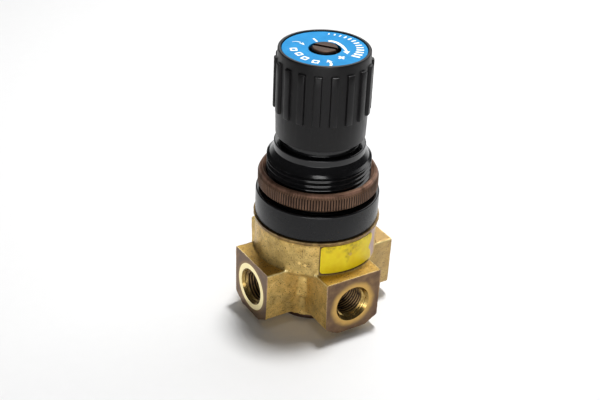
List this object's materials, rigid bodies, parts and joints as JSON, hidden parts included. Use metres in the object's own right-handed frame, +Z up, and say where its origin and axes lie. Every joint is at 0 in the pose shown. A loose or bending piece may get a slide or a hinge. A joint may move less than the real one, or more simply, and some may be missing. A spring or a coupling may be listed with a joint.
{
  "type": "air pressure regulator",
  "caption": "Small diaphragm pressure regulator for compressed air: cast brass cross body with threaded ports, black bonnet, knurled panel nut and ribbed hand knob.",
  "frame": {"origin": "on the main axis, on the surface that the bottom plug stands on", "axes": "+Z up along the main axis; the inlet port faces -X, the outlet +X, the gauge ports -Y and +Y"},
  "size_m": [0.043, 0.043, 0.0825],
  "materials": {
    "cast_brass": "sand-cast skin with machined port faces",
    "black_housing": "glossy moulded",
    "black_knob": "satin moulded",
    "brown_metal": "browned, knurled",
    "blue_print": "printed disc",
    "yellow_label": "worn printed label",
    "plug_metal": "dark oxidised",
    "bright_steel": "turned",
    "spring_steel": "oiled wire",
    "turned_brass": "bright turned",
    "black_rubber": "moulded"
  },
  "bodies": {
    "housing": {"body": "cast_brass", "type_label": "yellow_label", "bonnet": "black_housing", "bottom_plug": "plug_metal", "plug_oring": "black_rubber", "thrust_washer": "turned_brass", "slip_ring": "bright_steel", "diaphragm": "black_rubber", "main_spring": "spring_steel", "valve_spring": "spring_steel"},
    "knob_unit": {"knob": "black_knob", "knob_disc": "blue_print", "adjusting_spindle": "bright_steel", "spindle_circlip": "spring_steel"},
    "lock_unit": {"lock_screw": "brown_metal"},
    "panel_nut": {"ring_nut": "brown_metal"},
    "spring_seat": {"spring_plate": "turned_brass"},
    "diaphragm_unit": {"diaphragm_plate": "bright_steel", "diaphragm_hub": "turned_brass"},
    "valve_unit": {"valve_stem": "bright_steel", "valve_poppet": "turned_brass", "poppet_seal": "black_rubber"}
  },
  "joints": [
    {"name": "knob_turn", "type": "hinge", "parent": "housing", "child": "knob_unit", "pos_m": [0, 0, 0.07], "axis": [0, 0, -1], "range_deg": [0, 1800]},
    {"name": "spring_plate_travel", "type": "slide", "parent": "housing", "child": "spring_seat", "axis": [0, 0, -1], "range_m": [0, 0.00626], "deforming": ["main_spring"]},
    {"name": "lock_screw_turn", "type": "hinge", "parent": "knob_unit", "child": "lock_unit", "pos_m": [0, 0, 0.081], "axis": [0, 0, -1], "range_deg": [0, 90]},
    {"name": "ring_nut_turn", "type": "hinge", "parent": "housing", "child": "panel_nut", "pos_m": [0, 0, 0.043], "axis": [0, 0, 1], "range_deg": [-360, 1440]},
    {"name": "diaphragm_stroke", "type": "slide", "parent": "housing", "child": "diaphragm_unit", "axis": [0, 0, -1], "range_m": [0, 0.0008], "stiffness_N_per_m": 2000, "springref_m": -0.002, "deforming": ["diaphragm"]},
    {"name": "valve_stroke", "type": "slide", "parent": "housing", "child": "valve_unit", "axis": [0, 0, -1], "range_m": [0, 0.00081], "deforming": ["valve_spring"]}
  ],
  "couplings": [
    {"joint": "spring_plate_travel", "follows": "knob_turn", "m_per_rad": 0.00019894},
    {"joint": "valve_stroke", "follows": "diaphragm_stroke", "ratio": 1}
  ]
}
